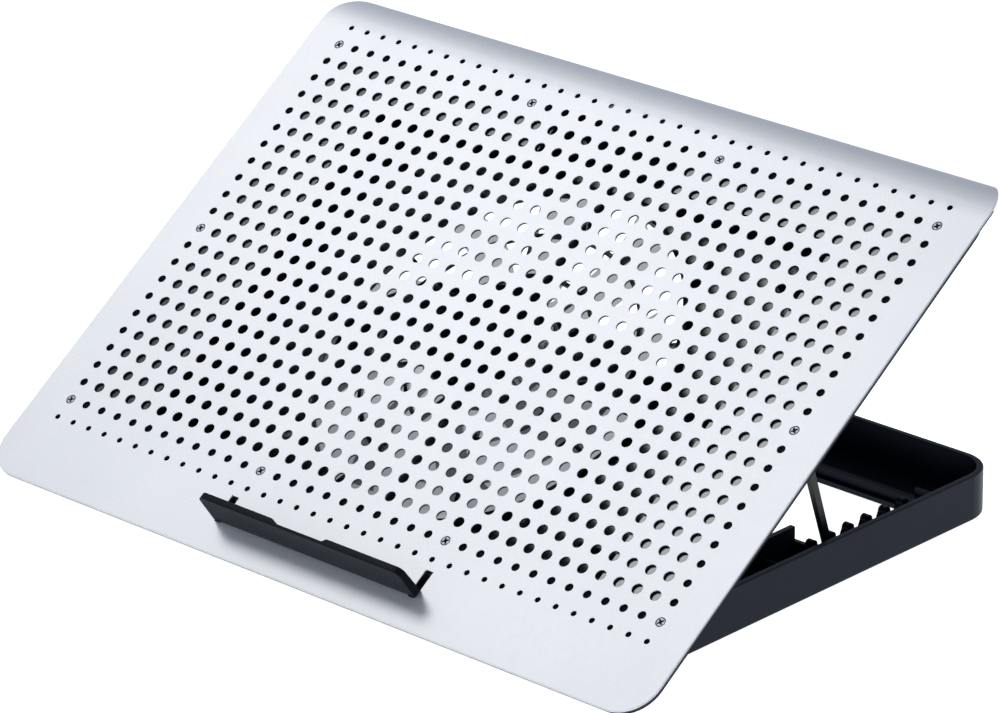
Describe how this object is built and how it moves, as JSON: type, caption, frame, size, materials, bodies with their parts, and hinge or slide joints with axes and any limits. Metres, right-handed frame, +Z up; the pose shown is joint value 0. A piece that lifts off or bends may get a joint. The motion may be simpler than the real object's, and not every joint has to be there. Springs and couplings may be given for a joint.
{
  "type": "laptop cooling pad",
  "caption": "Laptop cooling pad: perforated metal deck over a wide fan, propped on fold-out legs above a low ribbed base frame, with a fold-down front stop.",
  "frame": {"origin": "on the table, under the middle of the whole pad as it stands open", "axes": "+X to the user's right along the pad's width, +Y away from the user, +Z up"},
  "size_m": [0.3894, 0.2622, 0.1631],
  "materials": {
    "base_black": "satin",
    "foot_rubber": "matte",
    "pin_steel": "satin",
    "plate_alu": "fine satin",
    "screw_steel": "satin",
    "tray_black": "semi-gloss",
    "fan_black": "satin",
    "bearing_bronze": "sintered",
    "core_steel": "laminated",
    "coil_copper": "enamelled",
    "board_green": "solder mask",
    "lead_jacket": "smooth",
    "port_steel": "plated",
    "tongue_plastic": "smooth",
    "switch_black": "smooth",
    "magnet_ferrite": "bonded",
    "stop_black": "fine grain",
    "leg_black": "satin"
  },
  "bodies": {
    "base": {"base_frame": "base_black", "foot_pads": "foot_rubber", "hinge_pins": "pin_steel"},
    "deck": {"top_plate": "plate_alu", "plate_screws": "screw_steel", "deck_tray": "tray_black", "stop_pins": "pin_steel", "leg_pins": "pin_steel", "fan_frame": "fan_black", "fan_screws": "screw_steel", "fan_bearing": "bearing_bronze", "stator_core": "core_steel", "stator_coils": "coil_copper", "fan_board": "board_green", "fan_lead": "lead_jacket", "control_board": "board_green", "board_screws": "screw_steel", "usb_port_left": "port_steel", "usb_port_right": "port_steel", "usb_tongues": "tongue_plastic", "switch_body": "switch_black", "port_panel": "tray_black"},
    "fan": {"fan_impeller": "fan_black", "fan_yoke": "pin_steel", "fan_magnet": "magnet_ferrite", "fan_shaft": "pin_steel"},
    "stop": {"front_stop": "stop_black"},
    "leg_left": {"leg_left": "leg_black"},
    "leg_right": {"leg_right": "leg_black"},
    "switch": {"switch_knob": "switch_black"}
  },
  "joints": [
    {"name": "deck_tilt", "type": "hinge", "parent": "base", "child": "deck", "pos_m": [0, -0.0833, 0.0193], "axis": [1, 0, 0], "range_deg": [-35.4, 0]},
    {"name": "leg_left_fold", "type": "hinge", "parent": "deck", "child": "leg_left", "pos_m": [-0.1556, 0.00676, 0.09127], "axis": [1, 0, 0], "range_deg": [0, 107.8]},
    {"name": "leg_right_fold", "type": "hinge", "parent": "deck", "child": "leg_right", "pos_m": [0.1556, 0.00676, 0.09127], "axis": [1, 0, 0], "range_deg": [0, 107.8]},
    {"name": "stop_flip", "type": "hinge", "parent": "deck", "child": "stop", "pos_m": [0, -0.10839, 0.01404], "axis": [1, 0, 0], "range_deg": [-90, 0]},
    {"name": "fan_spin", "type": "hinge", "parent": "deck", "child": "fan", "pos_m": [0, -0.00923, 0.07562], "axis": [0, -0.5793, 0.8151], "continuous": true},
    {"name": "fan_switch", "type": "slide", "parent": "deck", "child": "switch", "axis": [1, 0, 0], "range_m": [-0.002, 0.002]}
  ],
  "couplings": [
    {"joint": "leg_left_fold", "follows": "deck_tilt", "ratio": -3.0424},
    {"joint": "leg_right_fold", "follows": "deck_tilt", "ratio": -3.0424}
  ]
}
